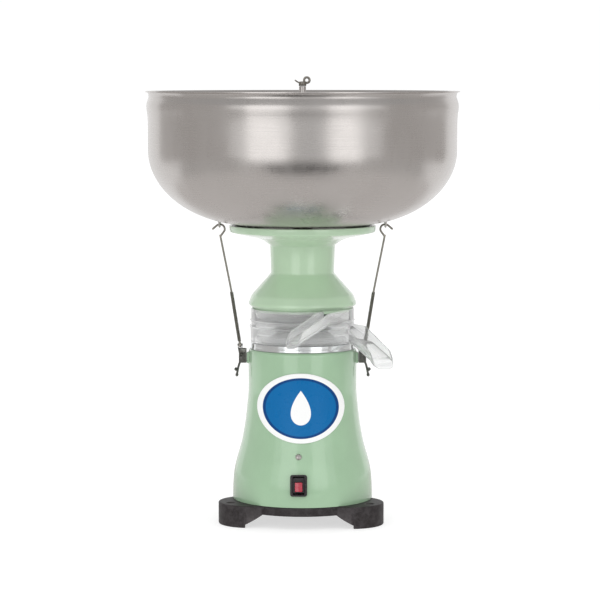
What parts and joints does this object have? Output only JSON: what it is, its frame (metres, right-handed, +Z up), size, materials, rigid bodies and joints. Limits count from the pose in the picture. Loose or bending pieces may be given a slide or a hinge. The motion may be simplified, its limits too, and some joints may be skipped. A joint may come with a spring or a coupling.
{
  "type": "cream separator",
  "caption": "Tabletop electric cream separator: wide milk bowl with tap, float chamber, drum, two spouted collectors, side latches and a flared motor housing on feet.",
  "frame": {"origin": "centre of the sole plane, on the spin axis", "axes": "+Z up along the spin axis, -Y to the front with the switch and label, +X to the right seen from the front"},
  "size_m": [0.3576, 0.3576, 0.5084],
  "materials": {
    "green_paint": "satin",
    "stainless": "brushed",
    "dark_steel": "satin",
    "aluminium": "satin",
    "clear_plastic": "gloss",
    "black_plastic": "matte",
    "red_plastic": "gloss",
    "white_plastic": "satin",
    "label_film": "gloss",
    "rubber": "matte",
    "brass": "satin",
    "board": "satin"
  },
  "bodies": {
    "stand": {"base_ring": "black_plastic", "base_screw_1": "dark_steel", "base_screw_2": "dark_steel", "base_screw_3": "dark_steel", "bowl_outlet": "stainless", "bowl_peg_left": "stainless", "bowl_peg_right": "stainless", "cable_gland": "black_plastic", "control_board": "board", "drum_well": "aluminium", "feed_nozzle": "brass", "float_chamber": "green_paint", "front_screw": "stainless", "housing_collar": "aluminium", "housing_shell": "green_paint", "label": "label_film", "latch_bracket_left": "dark_steel", "latch_bracket_right": "dark_steel", "lower_bearing": "dark_steel", "lower_bracket": "aluminium", "milk_bowl": "stainless", "motor_plate": "dark_steel", "motor_stator": "dark_steel", "outlet_gasket": "rubber", "rubber_damper_1": "rubber", "rubber_damper_2": "rubber", "rubber_damper_3": "rubber", "switch_bezel": "black_plastic", "switch_body": "black_plastic", "upper_bearing": "dark_steel", "upper_bracket": "aluminium"},
    "drum": {"spindle": "dark_steel", "motor_rotor": "dark_steel", "drum_bottom": "aluminium", "drum_seal": "rubber", "disc_holder": "aluminium", "top_disc": "aluminium", "cream_screw": "brass", "drum_cover": "aluminium", "drum_nut": "dark_steel", "separating_disc_1": "aluminium", "separating_disc_2": "aluminium", "separating_disc_3": "aluminium", "separating_disc_4": "aluminium", "separating_disc_5": "aluminium", "separating_disc_6": "aluminium"},
    "tap": {"tap_stem": "stainless", "tap_handle": "dark_steel"},
    "float": {"float": "white_plastic"},
    "cream_collector": {"cream_collector": "clear_plastic"},
    "milk_collector": {"milk_collector": "clear_plastic"},
    "rocker": {"switch_rocker": "red_plastic"},
    "lever_left": {"latch_lever_left": "dark_steel"},
    "link_left": {"latch_link_left": "dark_steel"},
    "rod_left": {"hook_rod_left": "dark_steel", "latch_spring_left": "dark_steel"},
    "lever_right": {"latch_lever_right": "dark_steel"},
    "link_right": {"latch_link_right": "dark_steel"},
    "rod_right": {"hook_rod_right": "dark_steel", "latch_spring_right": "dark_steel"}
  },
  "joints": [
    {"name": "drum_spin", "type": "hinge", "parent": "stand", "child": "drum", "pos_m": [0, 0, 0.1515], "axis": [0, 0, 1], "continuous": true},
    {"name": "tap_turn", "type": "hinge", "parent": "stand", "child": "tap", "pos_m": [0, 0, 0.341], "axis": [0, 0, 1], "range_deg": [0, 90]},
    {"name": "float_rise", "type": "slide", "parent": "stand", "child": "float", "axis": [0, 0, 1], "range_m": [0, 0.008]},
    {"name": "cream_collector_turn", "type": "hinge", "parent": "stand", "child": "cream_collector", "pos_m": [0, 0, 0.231], "axis": [0, 0, 1], "range_deg": [-30, 20]},
    {"name": "milk_collector_turn", "type": "hinge", "parent": "stand", "child": "milk_collector", "pos_m": [0, 0, 0.206], "axis": [0, 0, 1], "range_deg": [-30, 0]},
    {"name": "switch_rock", "type": "hinge", "parent": "stand", "child": "rocker", "pos_m": [-0.0045, -0.07811, 0.05045], "axis": [1, 0, 0], "range_deg": [0, 18]},
    {"name": "lever_left_open", "type": "hinge", "parent": "stand", "child": "lever_left", "pos_m": [-0.0697, 0, 0.1907], "axis": [0, 1, 0], "range_deg": [0, 100]},
    {"name": "link_left_turn", "type": "hinge", "parent": "lever_left", "child": "link_left", "pos_m": [-0.0697, 0, 0.1887], "axis": [0, 1, 0], "range_deg": [-100, 0]},
    {"name": "rod_left_swing", "type": "hinge", "parent": "link_left", "child": "rod_left", "pos_m": [-0.07166, 0, 0.20105], "axis": [-1, 0, 0], "range_deg": [0, 75]},
    {"name": "lever_right_open", "type": "hinge", "parent": "stand", "child": "lever_right", "pos_m": [0.0697, 0, 0.1907], "axis": [0, -1, 0], "range_deg": [0, 100]},
    {"name": "link_right_turn", "type": "hinge", "parent": "lever_right", "child": "link_right", "pos_m": [0.0697, 0, 0.1887], "axis": [0, -1, 0], "range_deg": [-100, 0]},
    {"name": "rod_right_swing", "type": "hinge", "parent": "link_right", "child": "rod_right", "pos_m": [0.07166, 0, 0.20105], "axis": [-1, 0, 0], "range_deg": [0, 75]}
  ],
  "couplings": [
    {"joint": "link_left_turn", "follows": "lever_left_open", "ratio": -1},
    {"joint": "link_right_turn", "follows": "lever_right_open", "ratio": -1}
  ]
}
